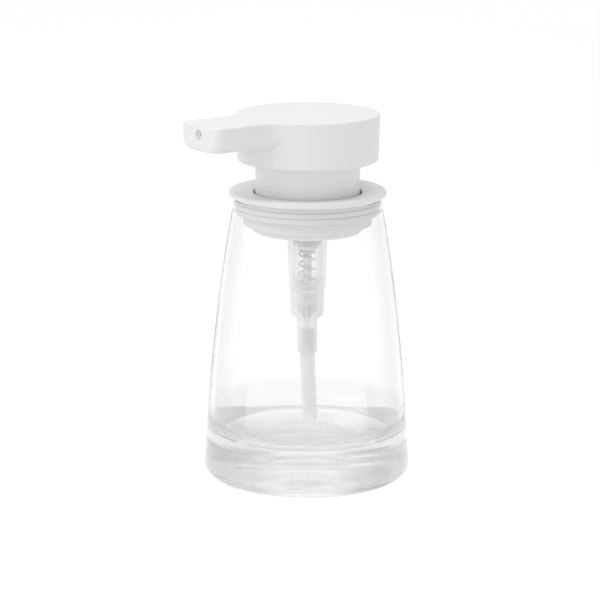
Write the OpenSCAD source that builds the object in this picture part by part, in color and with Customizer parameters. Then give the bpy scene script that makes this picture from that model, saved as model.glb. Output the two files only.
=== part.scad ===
// Counter-top soap pump: a tapering glass vessel, a sealed stopper that lifts out of its mouth,
// and a spring-return lotion pump under a round button with a flush spout.
// Millimetres, +Z up. The origin is the middle of the ring that the vessel stands on,
// and the spout points along -Y.

/* [Vessel] */
// Radius of the vessel at its foot
foot_r = 40; // [38:0.5:41]
// Height of the glass rim
rim_z = 110; // [109:0.5:110]
// Rounding where the side meets the foot
foot_round = 5; // [3:0.5:6]
// Height of the floor inside, which is the thickness of the heavy base
floor_z = 17.4; // [12:0.2:19]
// Glass wall at the rim
wall_top = 1.1; // [1:0.1:1.1]
// Glass wall just above the base
wall_low = 2.2; // [1.8:0.1:2.6]
// Rounding inside, between the floor and the wall
floor_round = 7.3; // [4:0.1:8]
// Radius of the hollow under the base
punt_r = 21; // [18:0.5:26]
// Depth of the hollow under the base
punt_h = 2; // [1:0.2:4]

/* [Stopper] */
// Radius of the flange that rests over the rim
flange_r = 30.3; // [29.5:0.1:32]
// Thickness of the flange
flange_t = 2.5; // [2.2:0.1:3]
// Radius of the well that the neck of the button slides in
well_r = 20.9; // [20.6:0.1:21]
// Largest radius of the seal's lips
lip_r = 26.85; // [26.3:0.05:26.9]
// Number of lips on the seal
lip_count = 3; // [2:1:4]

/* [Button] */
// Radius of the button at its lower edge
button_r = 27.1; // [26.5:0.1:29]
// Growth of the button's radius from its lower edge to its top
button_draft = 0.5; // [0:0.1:1]
// Height of the button
button_h = 18.1; // [17:0.1:20]
// Radius of the neck below the button
neck_r = 20.1; // [19.8:0.1:20.3]
// Distance of the spout's end from the button's axis
spout_reach = 51.2; // [48:0.1:54]
// Half width of the spout
spout_half_w = 12.2; // [11.5:0.1:12.6]
// Height of the spout
spout_h = 10.25; // [9.8:0.05:10.6]
// Radius of the sweep that blends the spout into the button
blend_r = 14.3; // [13:0.1:16]
// Rounding of the spout's upright corners
tip_round = 3.4; // [2:0.1:4]
// Rounding of the spout's two long lower edges
under_round = 5.3; // [4.5:0.1:5.5]
// Rounding of the lower edge at the spout's end
end_round = 2.6; // [1:0.1:3]
// Radius of the outlet hole
outlet_r = 1.7; // [1.4:0.1:1.8]

/* [Pump] */
// Travel of the button
stroke = 8.5; // [6:0.5:8.5]
// Outer radius of the pump housing under the stopper
housing_r = 7.55; // [7.4:0.05:8]
// Bore radius that the piston slides in
barrel_r = 5.85; // [5.7:0.05:5.9]
// Radius of the housing's lower stage
stage_r = 5.45; // [5.2:0.05:5.8]
// Number of fins on the lower stage
fin_count = 4; // [2:1:6]
// Turn of the first fin about the axis, in degrees
fin_turn = 52; // [0:1:90]
// Outer radius of the stem
stem_r = 3.5; // [3.4:0.05:3.6]
// Outer radius of the dip tube
tube_r = 2.95; // [2.8:0.05:3]
// Height of the dip tube's lower end
tube_low_z = 21.2; // [20:0.2:30]
// Wire of the return spring
wire_d = 0.9; // [0.7:0.05:0.95]
// Number of working turns of the spring
spring_turns = 5.5; // [4:0.1:6]
// Where the wire starts at the foot of the spring, in degrees about the axis
spring_start = -9; // [-180:1:180]

/* [Hidden] */
$fn = 96;

fit_gap = 0.07;                        // radial gap of the parts that slide or turn
flange_z = rim_z + 0.2;                // underside of the flange
flange_top = flange_z + flange_t;
sleeve_r = 22.9;                       // outside of the collar's sleeve
sleeve_low_z = 99.4;
cup_r = 21.3;                          // outside of the cup below the sleeve
cup_low_z = 96.4;
cup_floor_z = 97.9;
cup_in_r = 19.8;
seal_body_r = 25.6;
seal_low_z = 104;
retainer_r = 24.8;
gasket_top = cup_floor_z + 1;
clip_r = 11;                           // flange of the pump housing
clip_top = gasket_top + 1.4;
mouth_r = 8.2;                         // housing above its flange
mouth_z = 104;
shoulder_z = 74.3;                     // bottom of the barrel's outer wall
stage_top_z = 73;
stage_low_z = 62.2;
socket_r = 3.95;
socket_low_z = 48.3;
tube_top_z = 57;
spring_bore_r = 3.95;
cage_z = 64.4;                         // ledge that the ball cage sits on
cage_t = 0.6;
spring_low_z = cage_z + cage_t;
spring_top_z = 89;
spring_r = 3.55 - wire_d / 2;          // mean radius of the coil
ball_r = 1.6;
ball_z = 62.42;
seat_low_z = 61.3;
seat_high_z = 62.9;
seat_r = 1.2;
chamber_r = 2.3;
stop_z = 99;                           // top of the stem's stop shoulder at rest
piston_low_z = 91;
piston_top_z = 97;
stem_low_z = 92;
stem_top_z = 135.2;
stem_bore_r = 2;
button_z = flange_top + stroke + 2.93; // lower edge of the button at rest
button_top = button_z + button_h;
spout_low_z = button_top - spout_h;
button_in_r = button_r - 2;
ceiling_z = button_top - 1.3;
outlet_z = button_top - 3.6;
duct_r = 2;                            // outside of the spout tube
duct_bore_r = 1.5;
spout_wall = 5.9;                      // sides of the spout beside the cover
spout_end_wall = 3.4;
sweep_x = spout_half_w + blend_r;      // centre of the sweep, which touches side and button
sweep_y = -sqrt(pow(button_r + button_draft + blend_r, 2) - sweep_x * sweep_x);
sweep_turn = atan2(-sweep_y, -sweep_x);
hub_r = 5.5;
hub_low_z = 126;
neck_low_z = flange_top - 3.3;
neck_in_r = neck_r - 1.6;
base_plate_z = button_z + 1;
base_plate_t = 1.8;

// Outer radius of the glass at height z
function glass_r(z) =
    let (s = (z - foot_round) / 100)
    foot_r - 5.56 * s - 3.62 * s * s - 1.76 * s * s * s;

// Wall thickness of the glass at height z
function glass_wall(z) = wall_top + (wall_low - wall_top) * (rim_z - z) / (rim_z - floor_z);

// Points of an arc about (cx, cy) from angle a0 to angle a1 in n steps
function arc(cx, cy, r, a0, a1, n) =
    [for (i = [0:n]) let (a = a0 + (a1 - a0) * i / n) [cx + r * cos(a), cy + r * sin(a)]];

module glass_vessel() {
    in_r = glass_r(floor_z + floor_round) - glass_wall(floor_z + floor_round);
    punt_ball = (punt_r * punt_r + punt_h * punt_h) / (2 * punt_h);
    rim_mid = glass_r(rim_z) - wall_top / 2;
    color("lightcyan", 0.35)
    rotate_extrude()
    polygon(concat(
        [for (i = [0:6]) let (x = punt_r * i / 6)
            [x, punt_h - punt_ball + sqrt(punt_ball * punt_ball - x * x)]],
        arc(foot_r - foot_round, foot_round, foot_round, -90, 0, 10),
        [for (i = [1:23]) let (z = foot_round + (rim_z - 0.5 - foot_round) * i / 23) [glass_r(z), z]],
        arc(rim_mid, rim_z - wall_top / 2, wall_top / 2, 20, 160, 6),
        [for (i = [1:20]) let (z = rim_z - 1 - (rim_z - 1 - floor_z - floor_round) * i / 20)
            [glass_r(z) - glass_wall(z), z]],
        arc(in_r - floor_round, floor_z + floor_round, floor_round, -9, -90, 10),
        [[0, floor_z]]
    ));
}

module collar() {
    edge = flange_t / 2;
    color("white")
    rotate_extrude()
    polygon(concat(
        [[housing_r + 0.15, cup_low_z]],
        arc(cup_r - 1.2, cup_low_z + 1.2, 1.2, -90, 0, 6),
        [[cup_r, sleeve_low_z], [sleeve_r, sleeve_low_z], [sleeve_r, flange_z]],
        arc(flange_r - edge, flange_z + edge, edge, -90, 90, 12),
        [[25, flange_top - 0.05], [22.6, flange_top - 0.4]],
        arc(well_r + 0.8, flange_top - 1.35, 0.8, 70, 180, 6),
        [[well_r, 98.9], [cup_in_r, 98.9], [cup_in_r, cup_floor_z],
         [housing_r + 0.15, cup_floor_z]]
    ));
}

module seal_ring() {
    lip_pitch = (flange_z - seal_low_z) / lip_count;
    color("whitesmoke")
    rotate_extrude()
    polygon(concat(
        [[sleeve_r, seal_low_z]],
        [for (i = [0:lip_count - 1], p = [[seal_body_r, 0], [lip_r, 0.5], [lip_r, 0.9],
            [seal_body_r, 1.5]])
            [p[0], seal_low_z + i * lip_pitch + p[1]]],
        [[seal_body_r, flange_z], [sleeve_r, flange_z]]
    ));
}

module seal_retainer() {
    color("white")
    rotate_extrude()
    polygon(concat(
        [[sleeve_r, sleeve_low_z]],
        arc(retainer_r - 0.6, sleeve_low_z + 0.6, 0.6, -90, 0, 5),
        [[retainer_r, seal_low_z], [sleeve_r, seal_low_z]]
    ));
}

// Plain ring between two radii and two heights
module ring(r_in, r_out, z_low, z_high) {
    translate([0, 0, z_low])
    difference() {
        cylinder(r = r_out, h = z_high - z_low);
        translate([0, 0, -1])
        cylinder(r = r_in, h = z_high - z_low + 2);
    }
}

module housing_gasket() {
    color("gainsboro")
    ring(housing_r + 0.1, clip_r, cup_floor_z, gasket_top);
}

module housing_clamp() {
    color("white")
    rotate_extrude()
    polygon([[clip_r + 0.3, cup_floor_z], [17.8, cup_floor_z], [17.8, clip_top + 1.2],
             [9.3, clip_top + 1.2], [9.3, clip_top], [clip_r + 0.3, clip_top]]);
}

module pump_housing() {
    low_r = housing_r - 0.5;
    color("whitesmoke", 0.7)
    difference() {
        union() {
            rotate_extrude()
            polygon([[0, socket_low_z], [socket_r, socket_low_z], [socket_r, stage_low_z],
                     [stage_r - 0.6, stage_low_z], [stage_r, stage_low_z + 0.8],
                     [stage_r, stage_top_z], [low_r - 0.8, stage_top_z], [low_r, shoulder_z],
                     [housing_r, 91], [housing_r, gasket_top], [clip_r, gasket_top],
                     [clip_r, clip_top], [mouth_r, clip_top], [mouth_r, mouth_z],
                     [0, mouth_z]]);
            for (i = [0:fin_count - 1])
                rotate([90, 0, fin_turn + i * 360 / fin_count])
                linear_extrude(height = 0.8, center = true)
                polygon([[stage_r - 0.5, stage_low_z + 0.6], [stage_r + 0.2, stage_low_z],
                         [6.6, stage_low_z + 2], [6.6, stage_top_z + 0.5],
                         [stage_r - 0.5, stage_top_z + 0.5]]);
        }
        rotate_extrude()
        polygon([[0, socket_low_z - 1], [tube_r, socket_low_z - 1], [tube_r, tube_top_z],
                 [seat_r, tube_top_z + 0.4], [seat_r, seat_low_z], [chamber_r, seat_high_z],
                 [chamber_r, cage_z], [spring_bore_r, cage_z], [spring_bore_r, 74],
                 [barrel_r, 77.4], [barrel_r, mouth_z + 1], [0, mouth_z + 1]]);
        // air vent, which lets the vessel breathe as soap is drawn
        translate([0, 0, 95.2])
        rotate([0, 90, fin_turn + 45])
        cylinder(r = 0.5, h = housing_r + 1);
    }
}

module stem_guide() {
    color("white")
    rotate_extrude()
    polygon([[stem_r + fit_gap, stop_z + 0.1], [5, stop_z + 0.1], [5, mouth_z + 0.1],
             [mouth_r + 0.1, mouth_z + 0.1], [mouth_r + 0.1, clip_top + 0.1],
             [9, clip_top + 0.1], [9, 105.4], [8.4, 106], [5.6, 106], [5.2, 107.6],
             [stem_r + fit_gap, 107.6]]);
}

module ball_cage() {
    color("whitesmoke")
    difference() {
        ring(1.35, spring_bore_r - 0.05, cage_z, cage_z + cage_t);
        for (i = [0:3])
            rotate([0, 0, 45 + 90 * i])
            translate([2.4, 0, cage_z - 1])
            cylinder(r = 0.6, h = cage_t + 2, $fn = 24);
    }
}

module valve_ball() {
    color("silver")
    translate([0, 0, ball_z])
    sphere(r = ball_r, $fn = 48);
}

module dip_tube() {
    color("whitesmoke", 0.8)
    difference() {
        ring(2.2, tube_r, tube_low_z, tube_top_z);
        // the free end is cut a little aslant
        translate([0, 0, tube_low_z])
        rotate([0, 8, fin_turn])
        translate([-6, -6, -4])
        cube([12, 12, 4]);
    }
}

// Left-hand coil of round wire from z_low to z_high, with one closed turn at each end
module coil(r_mean, d_wire, turns, start, z_low, z_high) {
    per_turn = 16;
    sides = 8;
    total = turns + 2;
    rings = floor(total * per_turn);
    rise = z_high - z_low - 3 * d_wire;
    function height(t) =
        z_low + d_wire / 2
        + (t < 1 ? t * d_wire
           : t > total - 1 ? d_wire + rise + (t - total + 1) * d_wire
           : d_wire + rise * (t - 1) / turns);
    points = [for (i = [0:rings], j = [0:sides - 1])
        let (t = total * i / rings, a = start - 360 * t, b = 360 * j / sides,
             r = r_mean + d_wire / 2 * cos(b))
        [r * cos(a), r * sin(a), height(t) + d_wire / 2 * sin(b)]];
    walls = [for (i = [0:rings - 1], j = [0:sides - 1])
        let (k = (j + 1) % sides)
        [i * sides + j, (i + 1) * sides + j, (i + 1) * sides + k, i * sides + k]];
    first = [for (j = [0:sides - 1]) j];
    last = [for (j = [0:sides - 1]) rings * sides + sides - 1 - j];
    polyhedron(points = points, faces = concat(walls, [first], [last]));
}

module return_spring() {
    color("silver")
    coil(spring_r, wire_d, spring_turns, spring_start, spring_low_z, spring_top_z);
}

module stem() {
    color("white")
    rotate_extrude()
    polygon([[stem_bore_r, stem_low_z], [stem_r, stem_low_z], [stem_r, stop_z - 1.1],
             [4.8, stop_z - 1.1], [4.8, stop_z], [stem_r, stop_z], [stem_r, stem_top_z],
             [stem_bore_r, stem_top_z]]);
}

module valve_pin() {
    pin_low_z = 73.7;
    color("whitesmoke")
    rotate_extrude()
    polygon([[0, pin_low_z], [1.4, pin_low_z], [1.7, pin_low_z + 0.3], [1.7, spring_top_z],
             [3.5, spring_top_z], [4.5, piston_low_z - 0.3], [4.5, piston_low_z],
             [stem_bore_r, piston_low_z], [stem_bore_r, 97], [1.6, 97.5], [0, 97.5]]);
}

module piston() {
    color("white")
    rotate_extrude()
    polygon([[stem_r + fit_gap, piston_low_z + 0.1], [4.4, piston_low_z + 0.1], [4.9, 92.6],
             [5.2, 92.4], [barrel_r - fit_gap, 91.4], [barrel_r - fit_gap, 92.2],
             [5.3, 93.6], [5.3, 94.6], [barrel_r - fit_gap, 96], [barrel_r - fit_gap, 96.8],
             [5.2, 96.2], [4.7, piston_top_z], [stem_r + fit_gap, piston_top_z]]);
}

// Plan of the spout, drawn in at the sides and at the end
module spout_plan(side, end) {
    corner = max(tip_round - end, 0.4);
    half = spout_half_w - side;
    right = concat(
        arc(half - corner, corner + end - spout_reach, corner, -90, 0, 6),
        arc(sweep_x, sweep_y, blend_r + side, 180, sweep_turn, 16)
    );
    polygon(concat(
        right,
        [[0, 0]],
        [for (i = [len(right) - 1:-1:0]) [-right[i][0], right[i][1]]]
    ));
}

// Plate in the spout's outline with the sweeps into the button cut as round hollows, which
// also round off the lower edges
module spout_block(inset, low, high, under) {
    corner = tip_round - inset;
    half = spout_half_w - inset;
    root = (button_r + button_draft) / (button_r + button_draft + blend_r);
    right = concat(
        arc(half - corner, corner + inset - spout_reach, corner, -90, 0, 6),
        [[half, sweep_y], [root * sweep_x, sweep_y], [0.98 * root * sweep_x, 0.98 * root * sweep_y]]
    );
    reach_in = blend_r + inset + 0.03;
    difference() {
        translate([0, 0, low])
        linear_extrude(height = high - low)
        polygon(concat(
            right,
            [[0, 0]],
            [for (i = [len(right) - 1:-1:0]) [-right[i][0], right[i][1]]]
        ));
        for (side = [-1, 1])
        translate([side * sweep_x, sweep_y, 0])
        rotate_extrude()
        polygon(concat(
            [[0, low - 1], [reach_in + under, low - 1]],
            under > 0 ? arc(reach_in + under, low + under, under, 270, 180, 8) : [],
            [[reach_in, high + 1], [0, high + 1]]
        ));
        if (under > 0)
        for (side = [0, 1])
        mirror([side, 0, 0])
        translate([0, sweep_y, 0])
        rotate([90, 0, 0])
        linear_extrude(height = spout_reach)
        polygon(concat(
            [[half - under, low - 1], [half + 1, low - 1], [half + 1, low + under]],
            arc(half - under, low + under, under, 0, -90, 8)
        ));
        if (under > 0)
        translate([-20, -spout_reach, 0])
        rotate([90, 0, 90])
        linear_extrude(height = 40)
        polygon(concat(
            [[end_round, low - 1], [-1, low - 1], [-1, low + end_round]],
            arc(end_round, low + end_round, end_round, 180, 270, 6)
        ));
    }
}

module head_cap() {
    edge = 0.8;
    color("white")
    difference() {
        union() {
            rotate_extrude()
            polygon(concat(
                [[0, button_z]],
                arc(button_r - 1.1, button_z + 1.1, 1.1, -90, 0, 5),
                arc(button_r + button_draft - edge, button_top - edge, edge, 0, 90, 5),
                [[0, button_top]]
            ));
            spout_block(0, spout_low_z, button_top - edge, under_round);
            spout_block(0.4, button_top - edge - 0.5, button_top, 0);
        }
        translate([0, 0, button_z - 1])
        cylinder(r = button_in_r, h = ceiling_z - button_z + 1);
        translate([0, 0, spout_low_z - 1])
        linear_extrude(height = ceiling_z - spout_low_z + 1)
        intersection() {
            spout_plan(spout_wall, spout_end_wall);
            translate([-30, -spout_reach, 0])
            square([60, spout_reach - button_r - 0.8]);
        }
        // passage for the tube through the button's wall and on into the end of the spout
        translate([0, -button_in_r + 2, outlet_z])
        rotate([90, 0, 0])
        cylinder(r = duct_r + 0.1, h = spout_reach - button_in_r + 0.1);
        translate([0, -spout_reach + 5, outlet_z])
        rotate([90, 0, 0])
        cylinder(r = outlet_r, h = 10);
    }
}

module head_base() {
    color("white")
    rotate_extrude()
    polygon([[hub_r + 0.05, base_plate_z], [neck_in_r, base_plate_z], [neck_in_r, neck_low_z],
             [neck_r - 0.4, neck_low_z], [neck_r, neck_low_z + 0.4], [neck_r, base_plate_z],
             [button_in_r - 0.05, base_plate_z], [button_in_r - 0.05, base_plate_z + base_plate_t],
             [hub_r + 0.05, base_plate_z + base_plate_t]]);
}

module stem_socket() {
    color("white")
    difference() {
        translate([0, 0, hub_low_z])
        cylinder(r = hub_r, h = ceiling_z - hub_low_z);
        translate([0, 0, hub_low_z - 1])
        cylinder(r = stem_r + 0.05, h = stem_top_z + 0.2 - hub_low_z + 1);
        translate([0, 0, hub_low_z])
        cylinder(r = stem_bore_r, h = outlet_z + 1.7 - hub_low_z);
        translate([0, 0, outlet_z])
        rotate([90, 0, 0])
        cylinder(r = duct_bore_r, h = hub_r + 1);
        translate([0, -3.5, outlet_z])
        rotate([90, 0, 0])
        cylinder(r = duct_r, h = hub_r);
    }
}

module spout_tube() {
    color("white")
    translate([0, -3.5, outlet_z])
    rotate([90, 0, 0])
    difference() {
        cylinder(r = duct_r, h = spout_reach - 2 - 3.5);
        translate([0, 0, -1])
        cylinder(r = duct_bore_r, h = spout_reach);
    }
}

module spout_cover() {
    color("white")
    translate([0, 0, spout_low_z + 0.4])
    linear_extrude(height = 1.4)
    intersection() {
        spout_plan(spout_wall + 0.1, spout_end_wall + 0.1);
        translate([-30, -spout_reach, 0])
        square([60, spout_reach - button_r - 0.9]);
    }
}

glass_vessel();
collar();
seal_ring();
seal_retainer();
housing_gasket();
housing_clamp();
pump_housing();
stem_guide();
ball_cage();
valve_ball();
dip_tube();
return_spring();
stem();
valve_pin();
piston();
head_cap();
head_base();
stem_socket();
spout_tube();
spout_cover();
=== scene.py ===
# A counter-top soap pump: a heavy-based glass bottle, a sealed stopper that lifts out of its mouth,
# and a lotion pump under a round white button with a flush spout. The sections follow the order
# in which it is put together, from the bottle up. Lengths in a section are in millimetres and
# become metres as each mesh is made.
import math

import bmesh
import bpy
from mathutils import Matrix, Vector


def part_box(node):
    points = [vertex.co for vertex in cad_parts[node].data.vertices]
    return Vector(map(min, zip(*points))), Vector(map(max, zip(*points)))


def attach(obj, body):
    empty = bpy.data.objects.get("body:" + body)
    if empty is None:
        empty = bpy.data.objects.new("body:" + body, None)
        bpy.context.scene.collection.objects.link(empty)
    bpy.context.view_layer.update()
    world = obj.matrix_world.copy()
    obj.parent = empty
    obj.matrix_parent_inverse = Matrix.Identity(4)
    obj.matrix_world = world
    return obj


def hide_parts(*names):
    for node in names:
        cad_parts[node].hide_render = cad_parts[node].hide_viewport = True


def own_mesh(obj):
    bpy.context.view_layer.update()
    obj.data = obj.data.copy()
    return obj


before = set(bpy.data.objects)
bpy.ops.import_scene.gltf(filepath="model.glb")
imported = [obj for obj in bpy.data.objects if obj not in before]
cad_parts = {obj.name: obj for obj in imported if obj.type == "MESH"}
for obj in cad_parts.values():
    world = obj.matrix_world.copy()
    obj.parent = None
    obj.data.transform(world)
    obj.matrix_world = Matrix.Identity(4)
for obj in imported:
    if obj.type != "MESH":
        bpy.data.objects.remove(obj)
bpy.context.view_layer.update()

# ---------------------------------------------------------------- glass bottle
# The bottle is pressed and blown soda-lime glass: a clear tapering side, a floor as thick as
# a finger, rounded inside, and a shallow hollow underneath so that it stands on a ring.
MM = 0.001


def extent(node):
    """Lowest and highest height and the largest reach to +X of a part, in millimetres."""
    low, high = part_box(node)
    return low.z / MM, high.z / MM, high.x / MM


def arc(cx, cy, radius, start, end, steps):
    """Points of an arc, from one angle to another in degrees."""
    angles = [math.radians(start + (end - start) * i / steps) for i in range(steps + 1)]
    return [(cx + radius * math.cos(a), cy + radius * math.sin(a)) for a in angles]


def rounded(corners, steps=6):
    """A closed outline from (radius, height, rounding) corners, each rounded where it asks for it."""
    points = []
    for i, (r, z, rounding) in enumerate(corners):
        here = Vector((r, z))
        back = Vector(corners[i - 1][:2]) - here
        on = Vector(corners[(i + 1) % len(corners)][:2]) - here
        if rounding <= 0:
            points.append((r, z))
            continue
        half = back.angle(on) / 2
        reach = min(rounding / math.tan(half), 0.48 * back.length, 0.48 * on.length)
        radius = reach * math.tan(half)
        middle = here + (back.normalized() + on.normalized()).normalized() * (radius / math.sin(half))
        first = here + back.normalized() * reach - middle
        last = here + on.normalized() * reach - middle
        turn = first.angle_signed(last)
        for k in range(steps + 1):
            spoke = first.copy()
            spoke.rotate(Matrix.Rotation(-turn * k / steps, 2))
            points.append(tuple(middle + spoke))
    return points


def shell(name, bm, sharp=32):
    """An object from mesh data in millimetres, smooth except along edges sharper than the angle."""
    bmesh.ops.remove_doubles(bm, verts=bm.verts, dist=1e-5)
    bmesh.ops.dissolve_degenerate(bm, edges=bm.edges, dist=1e-5)
    bmesh.ops.recalc_face_normals(bm, faces=bm.faces)
    for face in bm.faces:
        face.smooth = True
    for edge in bm.edges:
        if len(edge.link_faces) == 2 and edge.calc_face_angle(0) > math.radians(sharp):
            edge.smooth = False
    bmesh.ops.scale(bm, vec=(MM, MM, MM), verts=bm.verts)
    mesh = bpy.data.meshes.new(name)
    bm.to_mesh(mesh)
    bm.free()
    piece = bpy.data.objects.new(name, mesh)
    bpy.context.scene.collection.objects.link(piece)
    return piece


def turned(bm, outline, steps=160):
    """Adds a closed outline of (radius, height) points, turned about the axis."""
    columns = []
    for k in range(steps):
        a = 2 * math.pi * k / steps
        columns.append([bm.verts.new((r * math.cos(a), r * math.sin(a), z)) for r, z in outline])
    for k in range(steps):
        left, right = columns[k], columns[(k + 1) % steps]
        for i in range(len(outline)):
            j = (i + 1) % len(outline)
            if outline[i][0] > 1e-6 or outline[j][0] > 1e-6:
                bm.faces.new((left[i], left[j], right[j], right[i]))


def lathe(name, outline, steps=160, sharp=32):
    """A turned piece from one closed outline."""
    bm = bmesh.new()
    turned(bm, outline, steps)
    return shell(name, bm, sharp)


def wire(tree, *links):
    """Joins (from socket, to socket) pairs."""
    for source, target in links:
        tree.links.new(source, target)


def add(tree, kind, **settings):
    """A shader node with its settings: inputs by name, anything else as an attribute."""
    node = tree.nodes.new(kind)
    for key, value in settings.items():
        if key in node.inputs:
            node.inputs[key].default_value = value
        elif hasattr(node, key):
            setattr(node, key, value)
        else:
            node.inputs[key.replace("_", " ")].default_value = value
    return node


def blank(name):
    """An empty node material and its output."""
    material = bpy.data.materials.new(name)
    material.use_nodes = True
    tree = material.node_tree
    tree.nodes.clear()
    return material, tree, add(tree, "ShaderNodeOutputMaterial")


def dress(piece, material, body, slot, *nodes):
    """Gives a piece its material and body, and hides the frame nodes that it stands for. The slot is not
    used.
    """
    piece.data.materials.clear()
    piece.data.materials.append(material)
    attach(piece, body)
    if nodes:
        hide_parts(*nodes)
    return piece


rim_z, foot_r = extent("glass_vessel")[1:]
foot_round = 5.0
floor_z = 17.4
floor_round = 7.3
rim_wall = 1.1
base_wall = 2.2
hollow_r = 21.0
hollow_h = 2.0
# Painted shade in the thick base: below this height the glass's colour is greyed, and part of it is let
# through with a grey tint, standing in for the shade under the bottle.
base_shade_z = floor_z + 2 * floor_round
base_painted_shade = 0.75
base_clear = 0.3


def glass_r(z):
    """Outer radius of the bottle at a height: nearly straight above the foot, curving in higher up."""
    s = (z - foot_round) / 100
    return foot_r - 5.56 * s - 3.62 * s**2 - 1.76 * s**3


def wall_at(z):
    """Glass wall at a height, thinning towards the rim."""
    return rim_wall + (base_wall - rim_wall) * (rim_z - z) / (rim_z - floor_z)


def bottle_outline():
    """Outline of the glass from the middle of the hollow, up the outside and down to the floor."""
    dome = (hollow_r**2 + hollow_h**2) / (2 * hollow_h)
    under = []
    for i in range(15):
        x = (hollow_r - 0.9) * i / 14
        under.append((x, hollow_h - dome + math.sqrt(dome**2 - x**2)))
    under += [(hollow_r - 0.3, 0.07), (hollow_r + 0.5, 0.0)]
    side = [i / 60 for i in range(61)]
    outer = [(glass_r(z), z) for z in (foot_round + (rim_z - 0.6 - foot_round) * t for t in side[1:])]
    top_wall = rim_wall / 2
    rim = arc(glass_r(rim_z) - top_wall, rim_z - top_wall, top_wall, 15, 165, 8)
    turn_z = floor_z + floor_round
    inner = [(glass_r(z) - wall_at(z), z) for z in (rim_z - 0.7 - (rim_z - 0.7 - turn_z) * t for t in side)]
    corner_r = inner[-1][0] - floor_round
    corner = arc(corner_r, turn_z, floor_round, -6, -90, 14)
    floor = [(corner_r * (1 - t / 6), floor_z) for t in range(1, 7)]
    foot = arc(foot_r - foot_round, foot_round, foot_round, -90, -4, 14)
    return under + foot + outer + rim + inner[1:] + corner + floor


def clear_glass():
    """Clear glass with the slow ripple of pressed glass. Its colour is greyed as painted shade where it is
    seen along its wall and in the thick base, standing in for the darker studio and the shade under the
    bottle seen through it. The base is also let through in part, with a grey tint, so that its grey stays
    even."""
    material, tree, out = blank("clear_glass")
    place = add(tree, "ShaderNodeTexCoord")
    ripple = add(tree, "ShaderNodeTexNoise", Scale=38.0, Detail=1.5)
    uneven = add(tree, "ShaderNodeBump", Strength=0.05, Distance=0.0006)
    glass = add(tree, "ShaderNodeBsdfPrincipled", Roughness=0.0, IOR=1.5)
    glass.inputs["Transmission Weight"].default_value = 1.0
    # Painted shade: the glass's colour is greyed where it is seen at a glancing angle, standing in for the
    # darker studio that its edges bend in.
    glance = add(tree, "ShaderNodeLayerWeight", Blend=0.5)
    edge = add(tree, "ShaderNodeMapRange", From_Min=0.34, From_Max=0.6)
    body = add(tree, "ShaderNodeMix", data_type="RGBA")
    body.inputs["A"].default_value = (0.985, 0.99, 0.988, 1)
    body.inputs["B"].default_value = (0.85, 0.855, 0.855, 1)
    # Painted shade: the glass's colour is greyer towards the thick base.
    deep = add(
        tree, "ShaderNodeMapRange", interpolation_type="SMOOTHSTEP", To_Max=base_painted_shade,
        From_Min=base_shade_z * MM, From_Max=(floor_z + floor_round) * MM,
    )
    most = add(tree, "ShaderNodeMath", operation="MAXIMUM")
    see = add(tree, "ShaderNodeBsdfTransparent")
    path = add(tree, "ShaderNodeLightPath")
    height = add(tree, "ShaderNodeSeparateXYZ")
    base = add(
        tree, "ShaderNodeMapRange", interpolation_type="SMOOTHSTEP", To_Max=base_clear,
        From_Min=base_shade_z * MM, From_Max=(floor_z + floor_round / 2) * MM,
    )
    # Painted shade: a grey tint on the base's let-through share and on light passing through it.
    tint = add(tree, "ShaderNodeMix", data_type="RGBA")
    tint.inputs["A"].default_value = (1, 1, 1, 1)
    tint.inputs["B"].default_value = (0.9, 0.91, 0.91, 1)
    body_mix, lit_mix, lamp_mix = [add(tree, "ShaderNodeMixShader") for _ in range(3)]
    depth = add(tree, "ShaderNodeVolumeAbsorption", Density=1.2)
    depth.inputs["Color"].default_value = (0.2, 0.21, 0.21, 1)
    wire(
        tree,
        (place.outputs["Object"], ripple.inputs["Vector"]),
        (ripple.outputs["Fac"], uneven.inputs["Height"]),
        (uneven.outputs["Normal"], glass.inputs["Normal"]),
        (glance.outputs["Facing"], edge.inputs["Value"]),
        (place.outputs["Object"], height.inputs["Vector"]),
        (height.outputs["Z"], deep.inputs["Value"]),
        (edge.outputs["Result"], most.inputs[0]),
        (deep.outputs["Result"], most.inputs[1]),
        (most.outputs[0], body.inputs["Factor"]),
        (body.outputs["Result"], glass.inputs["Base Color"]),
        (height.outputs["Z"], base.inputs["Value"]),
        (base.outputs["Result"], tint.inputs["Factor"]),
        (tint.outputs["Result"], see.inputs["Color"]),
        (base.outputs["Result"], body_mix.inputs[0]),
        (glass.outputs[0], body_mix.inputs[1]),
        (see.outputs[0], body_mix.inputs[2]),
        (path.outputs["Is Diffuse Ray"], lit_mix.inputs[0]),
        (body_mix.outputs[0], lit_mix.inputs[1]),
        (see.outputs[0], lit_mix.inputs[2]),
        (path.outputs["Is Shadow Ray"], lamp_mix.inputs[0]),
        (lit_mix.outputs[0], lamp_mix.inputs[1]),
        (see.outputs[0], lamp_mix.inputs[2]),
        (lamp_mix.outputs[0], out.inputs["Surface"]),
        (depth.outputs[0], out.inputs["Volume"]),
    )
    return material


bottle = lathe("bottle", bottle_outline(), steps=256, sharp=60)
dress(bottle, clear_glass(), "vessel", "clear_glass", "glass_vessel")

# ---------------------------------------------------------------- collar
# The collar is one white moulding: a flange that rests over the rim, a sleeve below it with the
# well that the button's neck drops into, and a cup at the bottom with a floor for the pump.


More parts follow.
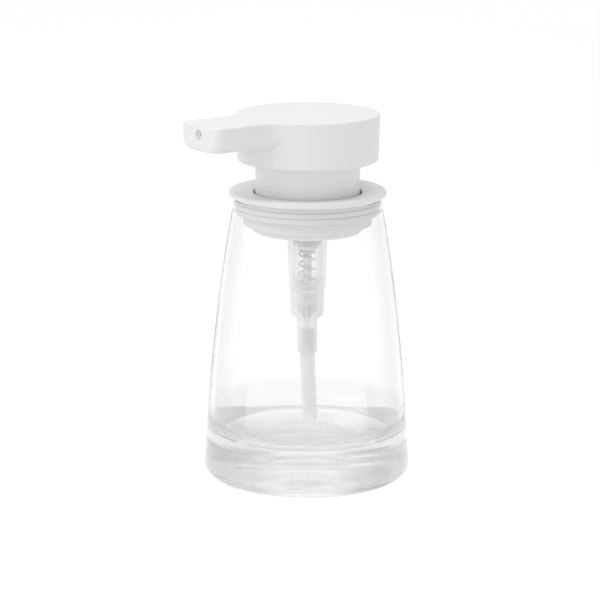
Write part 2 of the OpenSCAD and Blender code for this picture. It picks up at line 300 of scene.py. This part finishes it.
def moulded(name, pale, deep, roughness, grain_mm, relief, gloss=0.5):
    """Moulded plastic: a slow drift between two near shades, a fine skin and uneven gloss."""
    material, tree, out = blank(name)
    place = add(tree, "ShaderNodeTexCoord")
    drift = add(tree, "ShaderNodeTexNoise", Scale=55.0, Detail=2.0)
    shade = add(tree, "ShaderNodeMix", data_type="RGBA")
    shade.inputs["A"].default_value = (*pale, 1)
    shade.inputs["B"].default_value = (*deep, 1)
    skin = add(tree, "ShaderNodeTexNoise", Scale=1.0 / (grain_mm * MM), Detail=3.0)
    uneven = add(tree, "ShaderNodeMapRange")
    uneven.inputs["To Min"].default_value = roughness - 0.05
    uneven.inputs["To Max"].default_value = roughness + 0.07
    bump = add(tree, "ShaderNodeBump", Strength=relief, Distance=0.0001)
    plastic = add(tree, "ShaderNodeBsdfPrincipled", IOR=1.49)
    plastic.inputs["Specular IOR Level"].default_value = gloss
    wire(
        tree,
        (place.outputs["Object"], drift.inputs["Vector"]),
        (place.outputs["Object"], skin.inputs["Vector"]),
        (drift.outputs["Fac"], shade.inputs["Factor"]),
        (shade.outputs["Result"], plastic.inputs["Base Color"]),
        (drift.outputs["Fac"], uneven.inputs["Value"]),
        (uneven.outputs["Result"], plastic.inputs["Roughness"]),
        (skin.outputs["Fac"], bump.inputs["Height"]),
        (bump.outputs["Normal"], plastic.inputs["Normal"]),
        (plastic.outputs[0], out.inputs["Surface"]),
    )
    return material


white_satin = moulded("white_satin", (0.75, 0.75, 0.75), (0.72, 0.72, 0.72), 0.38, 0.5, 0.12)
cup_low, flange_top, flange_r = extent("collar")
flange_t = 2.5
well_r = 20.9
sleeve_r = 22.9
sleeve_low = 99.4
cup_r = 21.3
cup_in_r = 19.8
cup_floor = 97.9
pump_hole_r = 7.7
step_z = 98.9

collar_outline = rounded([
    (pump_hole_r, cup_low, 0.2), (cup_r, cup_low, 1.3), (cup_r, sleeve_low, 0.15),
    (sleeve_r, sleeve_low, 0.2), (sleeve_r, flange_top - flange_t, 0.3),
    (flange_r, flange_top - flange_t, 1.2), (flange_r, flange_top, 1.25),
    (28.0, flange_top, 2.0), (23.0, flange_top - 0.65, 2.0), (well_r, flange_top - 0.7, 0.7),
    (well_r, step_z, 0.2), (cup_in_r, step_z, 0.2), (cup_in_r, cup_floor, 0.5),
    (pump_hole_r, cup_floor, 0.2),
], steps=8)
dress(lathe("collar_moulding", collar_outline, 200), white_satin, "stopper", "white_satin", "collar")

# ---------------------------------------------------------------- seal ring
# A soft silicone ring pushed up the sleeve against the flange. Its lips spread a little below the
# mouth and grip the glass; they bend as the stopper is pulled out.
seal_low, seal_top = extent("seal_ring")[:2]
lip_pitch = (seal_top - seal_low) / 3
soft_white = moulded("soft_white", (0.7, 0.7, 0.7), (0.67, 0.67, 0.67), 0.55, 0.4, 0.1, 0.35)
seal_corners = [(sleeve_r, seal_low, 0.0)]
for lip in range(3):
    z = seal_low + lip * lip_pitch
    spread = glass_r(z + 1) - wall_at(z + 1) + 0.04
    seal_corners += [
        (spread - 0.35, z, 0.1), (spread + 0.02, z + 0.25, 0.15), (spread - 0.1, z + 1.8, 0.15),
        (spread - 0.35, z + 1.95, 0.08),
    ]
seal_corners[-2:] = [(spread - 0.15, rim_z - 0.3, 0.1), (glass_r(rim_z) + 0.2, rim_z - 0.02, 0.05)]
seal_corners += [(glass_r(rim_z) + 0.2, seal_top, 0.0), (sleeve_r, seal_top, 0.0)]
dress(lathe("seal", rounded(seal_corners), 200), soft_white, "stopper", "soft_white", "seal_ring")

# ---------------------------------------------------------------- seal retainer
# A narrow white ring snapped on the end of the sleeve, which keeps the seal from sliding off.
white_inner = moulded("white_inner", (0.72, 0.72, 0.72), (0.69, 0.69, 0.69), 0.5, 0.6, 0.15, 0.4)
keep_low, keep_top, keep_r = extent("seal_retainer")
keep_outline = rounded([
    (sleeve_r, keep_low, 0.1), (keep_r, keep_low, 0.6), (keep_r, keep_top, 0.1),
    (sleeve_r, keep_top, 0.0),
])
dress(
    lathe("retaining_ring", keep_outline, 200), white_inner, "stopper", "white_inner",
    "seal_retainer",
)

# ---------------------------------------------------------------- pump housing
# The housing is one blow of natural polypropylene, stepped down from the barrel that the piston
# runs in to the socket for the dip tube. Thin fins stiffen the step.


def natural(name, thin, thick, change_z=None):
    """Unfilled polypropylene: clear face on, milky at a glancing angle and where it is thick."""
    material, tree, out = blank(name)
    place = add(tree, "ShaderNodeTexCoord")
    cloud = add(tree, "ShaderNodeTexNoise", Scale=160.0, Detail=2.0)
    shade = add(tree, "ShaderNodeMix", data_type="RGBA")
    shade.inputs["A"].default_value = (0.9, 0.9, 0.9, 1)
    shade.inputs["B"].default_value = (0.84, 0.85, 0.85, 1)
    skin = add(tree, "ShaderNodeBump", Strength=0.08, Distance=0.0001)
    milk = add(tree, "ShaderNodeBsdfPrincipled", Roughness=0.32, IOR=1.49)
    see = add(tree, "ShaderNodeBsdfTransparent")
    glance = add(tree, "ShaderNodeLayerWeight", Blend=0.35)
    veil = add(tree, "ShaderNodeMapRange")
    veil.inputs["To Min"].default_value = thin
    veil.inputs["To Max"].default_value = 0.95
    mix = add(tree, "ShaderNodeMixShader")
    wire(
        tree,
        (place.outputs["Object"], cloud.inputs["Vector"]),
        (cloud.outputs["Fac"], shade.inputs["Factor"]),
        (shade.outputs["Result"], milk.inputs["Base Color"]),
        (cloud.outputs["Fac"], skin.inputs["Height"]),
        (skin.outputs["Normal"], milk.inputs["Normal"]),
        (glance.outputs["Facing"], veil.inputs["Value"]),
        (veil.outputs["Result"], mix.inputs[0]),
        (see.outputs[0], mix.inputs[1]),
        (milk.outputs[0], mix.inputs[2]),
        (mix.outputs[0], out.inputs["Surface"]),
    )
    if change_z:
        height = add(tree, "ShaderNodeSeparateXYZ")
        step = add(tree, "ShaderNodeMapRange")
        step.inputs["From Min"].default_value = (change_z + 3.0) * MM
        step.inputs["From Max"].default_value = (change_z - 3.0) * MM
        step.inputs["To Min"].default_value = thin
        step.inputs["To Max"].default_value = thick
        wire(
            tree,
            (place.outputs["Object"], height.inputs["Vector"]),
            (height.outputs["Z"], step.inputs["Value"]),
            (step.outputs["Result"], veil.inputs["To Min"]),
        )
    return material


socket_low, housing_top, clip_r = extent("pump_housing")
housing_r = 7.55
shoulder_z = 74.3
stage_top = 73.0
stage_low = 62.2
stage_r = 5.45
socket_r = 3.95
barrel_r = 5.85
fin_r = 6.6
fin_turn = 52.0
clip_low = 98.9
clip_top = 100.3
housing_outline = rounded([
    (2.95, socket_low, 0.1), (socket_r, socket_low, 0.3), (socket_r, stage_low, 0.3),
    (stage_r - 0.6, stage_low, 0.2), (stage_r, stage_low + 0.8, 0.3), (stage_r, stage_top, 0.3),
    (housing_r - 1.3, stage_top, 0.3), (housing_r - 0.5, shoulder_z, 0.6), (housing_r, 91.0, 0.0),
    (housing_r, clip_low, 0.2), (clip_r, clip_low, 0.2), (clip_r, clip_top, 0.2),
    (8.2, clip_top, 0.2), (8.2, housing_top, 0.2), (barrel_r, housing_top, 0.2),
    (barrel_r, 77.4, 1.0), (socket_r, 74.0, 0.8), (socket_r, 64.4, 0.2), (2.3, 64.4, 0.1),
    (2.3, 62.9, 0.1), (1.2, 61.3, 0.2), (1.2, 57.4, 0.1), (2.95, 57.0, 0.1),
])
bm = bmesh.new()
turned(bm, housing_outline, 96)
for quarter in range(4):
    about = Matrix.Rotation(math.radians(fin_turn + 90 * quarter), 3, "Z")
    side_view = [
        (stage_r - 0.4, stage_low + 0.6), (stage_r + 0.2, stage_low), (fin_r, stage_low + 2.0),
        (fin_r, stage_top + 0.4), (stage_r - 0.4, stage_top + 0.4),
    ]
    faces = [[bm.verts.new(about @ Vector((r, y, z))) for r, z in side_view] for y in (-0.35, 0.35)]
    bm.faces.new(faces[0])
    bm.faces.new(reversed(faces[1]))
    for i in range(len(side_view)):
        j = (i + 1) % len(side_view)
        bm.faces.new((faces[0][i], faces[1][i], faces[1][j], faces[0][j]))
dress(
    shell("housing", bm), natural("natural_housing", 0.05, 0.4, 76.0), "stopper",
    "natural_plastic", "pump_housing",
)

# ---------------------------------------------------------------- dip tube
# A length of extruded natural tube pressed into the socket. It leans a little to one side, and the
# free end is cut a little aslant.
tube_low, tube_top, tube_r = extent("dip_tube")
tube_in_r = 2.2
bm = bmesh.new()
bend_z = 48.3
bend = 1.3
turned(bm, rounded([
    (tube_in_r, tube_low, 0.05), (tube_r, tube_low, 0.1), (tube_r, bend_z, 0.0),
    (tube_r, tube_top, 0.1), (tube_in_r, tube_top, 0.05), (tube_in_r, bend_z, 0.0),
]), 64)
for vert in bm.verts:
    if vert.co.z < tube_low + 3:
        lean = vert.co.x * math.cos(math.radians(fin_turn)) + vert.co.y * math.sin(math.radians(fin_turn))
        vert.co.z += (tube_r - lean) * math.tan(math.radians(8))
    off = bend * max(bend_z - vert.co.z, 0) / (bend_z - tube_low)
    vert.co.x += off * math.cos(math.radians(fin_turn))
    vert.co.y += off * math.sin(math.radians(fin_turn))
dress(
    shell("tube", bm), natural("natural_tube", 0.38, 0.38), "stopper", "natural_plastic",
    "dip_tube",
)

# ---------------------------------------------------------------- inlet valve
# A pierced disc over the valve seat holds the ball in and is the spring's lower seat. The ball
# is ground stainless steel.


def steel(name, roughness, stretch):
    """Bright stainless steel with fine drawing marks."""
    material, tree, out = blank(name)
    place = add(tree, "ShaderNodeTexCoord")
    squeeze = add(tree, "ShaderNodeMapping")
    squeeze.inputs["Scale"].default_value = stretch
    marks = add(tree, "ShaderNodeTexNoise", Scale=2400.0, Detail=2.0)
    uneven = add(tree, "ShaderNodeMapRange")
    uneven.inputs["To Min"].default_value = roughness - 0.05
    uneven.inputs["To Max"].default_value = roughness + 0.1
    tone = add(tree, "ShaderNodeMix", data_type="RGBA")
    tone.inputs["A"].default_value = (0.88, 0.88, 0.89, 1)
    tone.inputs["B"].default_value = (0.78, 0.78, 0.79, 1)
    metal = add(tree, "ShaderNodeBsdfPrincipled", Metallic=1.0)
    wire(
        tree,
        (place.outputs["Object"], squeeze.inputs["Vector"]),
        (squeeze.outputs["Vector"], marks.inputs["Vector"]),
        (marks.outputs["Fac"], uneven.inputs["Value"]),
        (uneven.outputs["Result"], metal.inputs["Roughness"]),
        (marks.outputs["Fac"], tone.inputs["Factor"]),
        (tone.outputs["Result"], metal.inputs["Base Color"]),
        (metal.outputs[0], out.inputs["Surface"]),
    )
    return material


natural_solid = moulded("natural_solid", (0.86, 0.87, 0.87), (0.82, 0.83, 0.83), 0.4, 0.4, 0.1)


def coat(node, material, smooth=False):
    """Gives a part that keeps its moulded shape its material."""
    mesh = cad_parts[node].data
    mesh.materials.clear()
    mesh.materials.append(material)
    for polygon in mesh.polygons if smooth else ():
        polygon.use_smooth = True


coat("ball_cage", natural_solid)
ball_low, ball_top, ball_r = extent("valve_ball")
bm = bmesh.new()
bmesh.ops.create_icosphere(bm, subdivisions=4, radius=ball_r)
bmesh.ops.translate(bm, vec=(0, 0, (ball_low + ball_top) / 2), verts=bm.verts)
dress(shell("inlet_ball", bm), steel("ground_steel", 0.15, (1, 1, 1)), "ball", "steel", "valve_ball")

# ---------------------------------------------------------------- return spring
# A left-hand coil of drawn stainless wire with a closed turn at each end, standing on the cage
# and pushing the valve pin up. It shortens as the button is pressed.
spring_low, spring_top = extent("return_spring")[:2]
wire_d = 0.9
coil_r = 3.55 - wire_d / 2
working_turns = 5.5
spring_start = -9.0


def coil(name, per_turn=40, sides=12):
    """The wire swept along its helix."""
    bm = bmesh.new()
    turns = working_turns + 2
    rise = spring_top - spring_low - 3 * wire_d
    rings = []
    steps = int(turns * per_turn)
    for i in range(steps + 1):
        t = turns * i / steps
        a = math.radians(spring_start - 360 * t)
        z = spring_low + wire_d / 2
        z += t * wire_d if t < 1 else wire_d + rise * min((t - 1) / working_turns, 1)
        z += max(t - turns + 1, 0) * wire_d
        ring = []
        for j in range(sides):
            b = 2 * math.pi * j / sides
            r = coil_r + wire_d / 2 * math.cos(b)
            point = (r * math.cos(a), r * math.sin(a), z + wire_d / 2 * math.sin(b))
            ring.append(bm.verts.new(point))
        rings.append(ring)
    for left, right in zip(rings, rings[1:]):
        for j in range(sides):
            k = (j + 1) % sides
            bm.faces.new((left[j], left[k], right[k], right[j]))
    bm.faces.new(rings[0])
    bm.faces.new(rings[-1])
    return shell(name, bm, 40)


spring = dress(
    coil("spring"), steel("drawn_steel", 0.25, (1, 1, 6)), "stopper", "steel", "return_spring"
)
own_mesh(spring)

# ---------------------------------------------------------------- gasket, clamp and stem guide
# Hidden in the cup: a soft washer under the housing's flange, the ring that holds the flange
# down, and the cap that guides the stem. They keep their moulded shapes.
coat("housing_gasket", soft_white)
coat("housing_clamp", white_inner)
coat("stem_guide", white_inner)

# ---------------------------------------------------------------- stem, valve pin and piston
# The hollow stem carries the valve pin in its lower end. The piston is a thin cup seal that slides
# a little on the stem and opens or shuts the way into it.
coat("stem", white_inner, smooth=True)
coat("valve_pin", natural_solid, smooth=True)
coat("piston", white_inner, smooth=True)

# ---------------------------------------------------------------- button
# The button is a white moulded shell: a round disc with a flat top, and a spout that leaves it
# flush in two short sweeps and runs straight to a square-cut end. The spout's long lower edges
# are well rounded; it is open below like the disc.
button_low, button_top, disc_r = extent("head_cap")
spout_reach = -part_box("head_cap")[0].y / MM
draft = 0.5
spout_h = 10.25
spout_half = 12.2
blend_r = 14.3
corner_round = 3.4
top_round = 0.65
side_round = 5.3
end_round = 2.6
low_round = 1.0
button_in_r = 25.1
ceiling = button_top - 1.3
spout_low = button_top - spout_h
sweep_x = spout_half + blend_r
sweep_y = -math.sqrt((disc_r + blend_r) ** 2 - sweep_x**2)


def half_level(z, side, end, disc, corner, counts=(5, 9, 9, 16, 60)):
    """Right half of one level of the button: from the middle of the spout's end along its side and
    sweep to the disc, then round the disc to the back. Also how many points lie on the spout."""
    side = max(side, disc_r - disc)
    half, sweep = spout_half - side, blend_r + side
    face, bend, run, blend, around = counts
    front = end - spout_reach
    points = [((half - corner) * i / face, front) for i in range(face)]
    points += arc(half - corner, front + corner, corner, -90, 0, bend)
    points += [
        (half, front + corner + (sweep_y - front - corner) * i / run) for i in range(1, run)
    ]
    reach = math.hypot(sweep_x, sweep_y)
    spread = (reach**2 + disc**2 - sweep**2) / (2 * reach * disc)
    meet = math.atan2(sweep_y, sweep_x) - math.acos(min(spread, 1.0))
    stop = math.atan2(disc * math.sin(meet) - sweep_y, disc * math.cos(meet) - sweep_x)
    points += arc(sweep_x, sweep_y, sweep, 180, math.degrees(stop), blend)
    spout = len(points)
    points += arc(0, 0, disc, math.degrees(meet), 90, around)[1:]
    return [(x, y, z) for x, y in points], spout, meet


def button_mesh():
    """The button as a stack of levels: flat top, top edge, side, the spout's rounded underside,
    then the disc's side below the spout, its lip and the hollow."""
    height = button_top - button_low

    def wall(z):
        return disc_r - draft * (button_top - z) / height

    levels = [half_level(button_top, 2.6, 2.6, disc_r - 2.6, 0.9)]
    for k in range(9):
        a = math.radians(90 - 90 * k / 8)
        pull = top_round * (1 - math.cos(a))
        z = button_top - top_round * (1 - math.sin(a))
        levels.append(half_level(z, pull, pull, wall(z) - pull, corner_round - pull))
    z = spout_low + side_round + 0.3
    levels.append(half_level(z, 0, 0, wall(z), corner_round))
    for k in range(15):
        a = math.radians(90 * k / 14)
        up = side_round * (1 - math.sin(a))
        z = spout_low + up
        pull = side_round * (1 - math.cos(a)) + disc_r - wall(z)
        end = end_round - math.sqrt(end_round**2 - max(end_round - up, 0) ** 2)
        levels.append(half_level(z, pull, end, wall(z), corner_round))
    on_spout, meet = levels[-1][1:]
    under = []
    for k in range(4):
        a = math.radians(90 * k / 3)
        blend = 0.7 * (1 - math.sin(a)), -0.7 * (1 - math.cos(a))
        under.append((wall(spout_low) + blend[0], spout_low + blend[1]))
    under += [(wall(z), z) for z in (spout_low - 1.2, button_low + low_round)]
    for k in range(1, 7):
        a = math.radians(90 * k / 6)
        under.append((
            disc_r - draft - low_round * (1 - math.cos(a)), button_low + low_round * (1 - math.sin(a))
        ))
    under += [(button_in_r + 0.35, button_low), (button_in_r + 0.1, button_low + 0.1)]
    under += [(button_in_r, button_low + 0.35), (button_in_r, ceiling)]
    total = len(levels[0][0])
    turns = [-math.pi / 2 + (meet + math.pi / 2) * i / (on_spout - 1) for i in range(on_spout)]
    turns += [meet + (math.pi / 2 - meet) * i / (total - on_spout) for i in range(1, total - on_spout + 1)]
    stack = [level[0] for level in levels]
    for r, z in under:
        ring = []
        for i, a in enumerate(turns):
            near = min(abs(i - on_spout + 1) / 6, 1) if i < on_spout else 0
            reach = r if z <= spout_low - 0.7 else wall(z) + (r - wall(z)) * near
            ring.append((reach * math.cos(a), reach * math.sin(a), z))
        stack.append(ring)
    bm = bmesh.new()
    rings = []
    for ring in stack:
        right = [bm.verts.new(co) for co in ring]
        left = [bm.verts.new((-x, y, z)) for x, y, z in ring[-2:0:-1]]
        rings.append(right + left)
    for upper, lower in zip(rings, rings[1:]):
        for i in range(len(upper)):
            j = (i + 1) % len(upper)
            bm.faces.new((upper[i], upper[j], lower[j], lower[i]))
    bm.faces.new(rings[0])
    bm.faces.new(rings[-1])
    return bm


def prism(name, plan, low, high):
    """A straight block on a plan of (x, y) points."""
    bm = bmesh.new()
    rings = [[bm.verts.new((x, y, z)) for x, y in plan] for z in (low, high)]
    bm.faces.new(rings[0])
    bm.faces.new(rings[1])
    for i in range(len(plan)):
        j = (i + 1) % len(plan)
        bm.faces.new((rings[0][i], rings[0][j], rings[1][j], rings[1][i]))
    return shell(name, bm)


def spout_slot(side, end, back_y):
    """Plan of the spout's hollow or of its cover."""
    half, corner = spout_half - side, 0.8
    front = end - spout_reach
    right = arc(half - corner, front + corner, corner, -90, 0, 4) + [(half, back_y)]
    return right + [(-x, y) for x, y in right[::-1]]


def pin(name, radius, y_from, y_to, z):
    """A round bar along Y, flared a little where it leaves at y_from."""
    long = y_to - y_from
    bm = bmesh.new()
    turned(bm, [
        (0, 0), (radius + 0.35, 0), (radius + 0.1, 0.45), (radius, 0.8), (radius, long), (0, long)
    ], 64)
    bmesh.ops.rotate(bm, verts=bm.verts, matrix=Matrix.Rotation(math.radians(-90), 3, "X"))
    bmesh.ops.translate(bm, verts=bm.verts, vec=(0, y_from, z))
    return shell(name, bm)


def carve(piece, *cutters):
    """Cuts the cutters out of a piece and keeps the result as its mesh."""
    for cutter in cutters:
        cut = piece.modifiers.new("cut", "BOOLEAN")
        cut.operation = "DIFFERENCE"
        cut.solver = "EXACT"
        cut.object = cutter
    bpy.context.view_layer.update()
    graph = bpy.context.evaluated_depsgraph_get()
    result = bpy.data.meshes.new_from_object(piece.evaluated_get(graph))
    piece.modifiers.clear()
    piece.data = result
    for cutter in cutters:
        bpy.data.objects.remove(cutter)
    return piece


def even_light(piece):
    """Keeps the flat faces flat beside the rounded edges."""
    weigh = piece.modifiers.new("even_light", "WEIGHTED_NORMAL")
    weigh.keep_sharp = True
    weigh.weight = 80
    return piece


spout_wall = 5.9
end_wall = 3.4
hollow_back = -27.9
outlet_z = button_top - 3.6
outlet_r = 1.7
outlet_deep = 1.1
passage_r = 2.1
passage_back = -23.0
bore_r = 0.7
button = carve(
    shell("button", button_mesh()),
    prism("hollow", spout_slot(spout_wall, end_wall, hollow_back), spout_low - 0.9, ceiling - 0.1),
    pin("passage", passage_r, -spout_reach + 1.9, passage_back, outlet_z),
    pin("outlet", outlet_r, -spout_reach - 0.01, -spout_reach + outlet_deep, outlet_z),
    pin("bore", bore_r, -spout_reach + 0.9, -spout_reach + 3, outlet_z),
)
dress(even_light(button), white_satin, "head", "white_satin", "head_cap")

# ---------------------------------------------------------------- button base and neck
# A second white moulding closes the button from below: a plate set just inside its lip, and the
# wide neck that drops into the collar's well.
neck_low, plate_top, plate_r = extent("head_base")
neck_r = 20.1
neck_in_r = 18.5
socket_hole_r = 5.55
plate_low = plate_top - 1.8
neck_outline = rounded([
    (socket_hole_r, plate_low, 0.1), (neck_in_r, plate_low, 0.3), (neck_in_r, neck_low, 0.3),
    (neck_r, neck_low, 0.5), (neck_r, plate_low, 0.4), (plate_r, plate_low, 0.15),
    (plate_r, plate_top, 0.15), (socket_hole_r, plate_top, 0.1),
])
# The neck's white is lighter than the button's, though it is the same plastic: painted light that makes up
# for the shade under the button's overhang.
neck_painted_light = moulded("neck_painted_light", (0.84, 0.84, 0.84), (0.81, 0.81, 0.81), 0.4, 0.5, 0.12)
dress(lathe("neck", neck_outline, 200), neck_painted_light, "head", "white_satin", "head_base")

# ---------------------------------------------------------------- spout cover
# A flat white plate set into the underside of the spout, which closes its hollow.
cover_low, cover_top = extent("spout_cover")[:2]
play = 0.1
cover_plan = spout_slot(spout_wall + play, end_wall + play, hollow_back - play)
cover = prism("underplate", cover_plan, cover_low, cover_top)
bevel = cover.modifiers.new("soft_edge", "BEVEL")
bevel.width = 0.2 * MM
bevel.segments = 2
dress(cover, white_satin, "head", "white_satin", "spout_cover")

# ---------------------------------------------------------------- stem socket and spout tube
# Hidden in the button: the hub that the stem plugs into and the tube from it to the outlet.
coat("stem_socket", white_inner)
coat("spout_tube", white_inner)

# ---------------------------------------------------------------- floor
# A plain white sweep that fills the view, bright enough to leave only a breath of shadow. It glows a little
# less
# right under the bottle: a painted contact shadow.
bm = bmesh.new()
bmesh.ops.create_circle(bm, cap_ends=True, segments=96, radius=4000)
floor = shell("sweep", bm)
floor_white, tree, out = blank("floor_white")
place = add(tree, "ShaderNodeTexCoord")
mottle = add(tree, "ShaderNodeTexNoise", Scale=4.0)
tint = add(tree, "ShaderNodeMix", data_type="RGBA")
tint.inputs["A"].default_value = (0.3, 0.3, 0.3, 1)
tint.inputs["B"].default_value = (0.32, 0.32, 0.32, 1)
paper = add(tree, "ShaderNodeBsdfDiffuse")
glow = add(tree, "ShaderNodeEmission")
away = add(tree, "ShaderNodeVectorMath", operation="LENGTH")
# Painted shadow: the floor's glow drops within a few centimetres of the middle, under the bottle.
shade = add(
    tree, "ShaderNodeMapRange", interpolation_type="SMOOTHSTEP",
    From_Min=0.03, From_Max=0.041, To_Min=0.6, To_Max=0.75,
)
both = add(tree, "ShaderNodeAddShader")
wire(
    tree,
    (place.outputs["Object"], mottle.inputs["Vector"]),
    (mottle.outputs["Fac"], tint.inputs["Factor"]),
    (place.outputs["Object"], away.inputs[0]),
    (away.outputs["Value"], shade.inputs["Value"]),
    (shade.outputs["Result"], glow.inputs["Strength"]),
    (tint.outputs["Result"], paper.inputs["Color"]),
    (paper.outputs[0], both.inputs[0]),
    (glow.outputs[0], both.inputs[1]),
    (both.outputs[0], out.inputs["Surface"]),
)
floor.data.materials.append(floor_white)
floor.location.z = -0.0001

# ---------------------------------------------------------------- light
# A white tent of light, brightest in a narrow strip of wall straight behind. A grey flag stands
# behind on the left, and the tent is a little darker behind on the right, to draw the edges of the
# glass. Two soft lamps stand at the front left and overhead.
world = bpy.data.worlds.new("light_tent")
bpy.context.scene.world = world
world.use_nodes = True
tree = world.node_tree
tree.nodes.clear()
view_turn = -37.4
out = add(tree, "ShaderNodeOutputWorld")
place = add(tree, "ShaderNodeTexCoord")
split = add(tree, "ShaderNodeSeparateXYZ")
rise = add(tree, "ShaderNodeMix", data_type="RGBA")
rise.inputs["B"].default_value = (0.72, 0.72, 0.72, 1)
about = add(tree, "ShaderNodeVectorRotate", rotation_type="Z_AXIS")
about.inputs["Angle"].default_value = -math.radians(view_turn + 180)
sides = add(tree, "ShaderNodeSeparateXYZ")
bearing = add(tree, "ShaderNodeMath", operation="ARCTAN2")
spread = add(tree, "ShaderNodeMapRange")
spread.inputs["From Min"].default_value = -math.pi
spread.inputs["From Max"].default_value = math.pi
ramp = add(tree, "ShaderNodeValToRGB")
stops = [
    (-180, 0.92), (-160, 0.92), (-145, 0.83), (-70, 0.83), (-34, 0.8), (-22, 0.62), (-15, 0.75),
    (-9, 1.17), (9, 1.17), (15, 0.7), (24, 0.35), (38, 0.4), (46, 0.9), (75, 0.95), (145, 0.95),
    (160, 0.92), (180, 0.92),
]
while len(ramp.color_ramp.elements) < len(stops):
    ramp.color_ramp.elements.new(0.5)
for element, (degrees, tone) in zip(ramp.color_ramp.elements, stops):
    element.position = (degrees + 180) / 360
    element.color = (tone, tone, tone, 1)
tent = add(tree, "ShaderNodeBackground")
backdrop = add(tree, "ShaderNodeBackground", Strength=1.04)
backdrop.inputs["Color"].default_value = (1, 1, 1, 1)
path = add(tree, "ShaderNodeLightPath")
pick = add(tree, "ShaderNodeMixShader")
wire(
    tree,
    (place.outputs["Generated"], split.inputs["Vector"]),
    (split.outputs["Z"], rise.inputs["Factor"]),
    (rise.outputs["Result"], tent.inputs["Color"]),
    (place.outputs["Generated"], about.inputs["Vector"]),
    (about.outputs["Vector"], sides.inputs["Vector"]),
    (sides.outputs["Y"], bearing.inputs[0]),
    (sides.outputs["X"], bearing.inputs[1]),
    (bearing.outputs[0], spread.inputs["Value"]),
    (spread.outputs["Result"], ramp.inputs["Fac"]),
    (ramp.outputs["Color"], rise.inputs["A"]),
    (path.outputs["Is Camera Ray"], pick.inputs[0]),
    (tent.outputs[0], pick.inputs[1]),
    (backdrop.outputs[0], pick.inputs[2]),
    (pick.outputs[0], out.inputs["Surface"]),
)


def lamp(name, turn, climb_deg, away, size, watts):
    """A soft square lamp aimed at the middle of the pump."""
    data = bpy.data.lights.new(name, "AREA")
    data.shape = "SQUARE"
    data.size = size
    data.energy = watts
    piece = bpy.data.objects.new(name, data)
    bpy.context.scene.collection.objects.link(piece)
    a, e = math.radians(turn), math.radians(climb_deg)
    aim = Vector((0, 0, 0.09))
    reach = away * math.cos(e)
    piece.location = aim + Vector((reach * math.cos(a), reach * math.sin(a), away * math.sin(e)))
    piece.rotation_euler = (aim - piece.location).to_track_quat("-Z", "Y").to_euler()
    return piece


lamp("key", view_turn - 62, 42, 0.9, 0.6, 2.0)
lamp("overhead", view_turn, 88, 0.7, 0.5, 1.2)

# ---------------------------------------------------------------- camera
# Looking down a little at the spout's front left, through a long lens from about a metre.
camera_data = bpy.data.cameras.new("camera")
camera_data.lens = 160
camera_data.sensor_width = 36
camera_data.clip_start = 0.05
camera = bpy.data.objects.new("camera", camera_data)
bpy.context.scene.collection.objects.link(camera)
drop = math.radians(12.889)
heading = math.radians(52.63)
lean = math.radians(0.215)
aim = Matrix.Rotation(heading, 4, "Z") @ Vector((-0.00278, 0, 0.06897))
turn = Matrix.Rotation(heading, 4, "Z") @ Matrix.Rotation(math.radians(90) - drop, 4, "X")
turn = turn @ Matrix.Rotation(lean, 4, "Z")
back = turn.to_3x3() @ Vector((0, 0, 1))
camera.matrix_world = Matrix.Translation(aim + back * 1.03345) @ turn
bpy.context.scene.camera = camera
bpy.context.scene.view_settings.view_transform = "Standard"
bpy.context.scene.cycles.max_bounces = 24
bpy.context.scene.cycles.glossy_bounces = 16
bpy.context.scene.cycles.transmission_bounces = 24
bpy.context.scene.cycles.transparent_max_bounces = 24
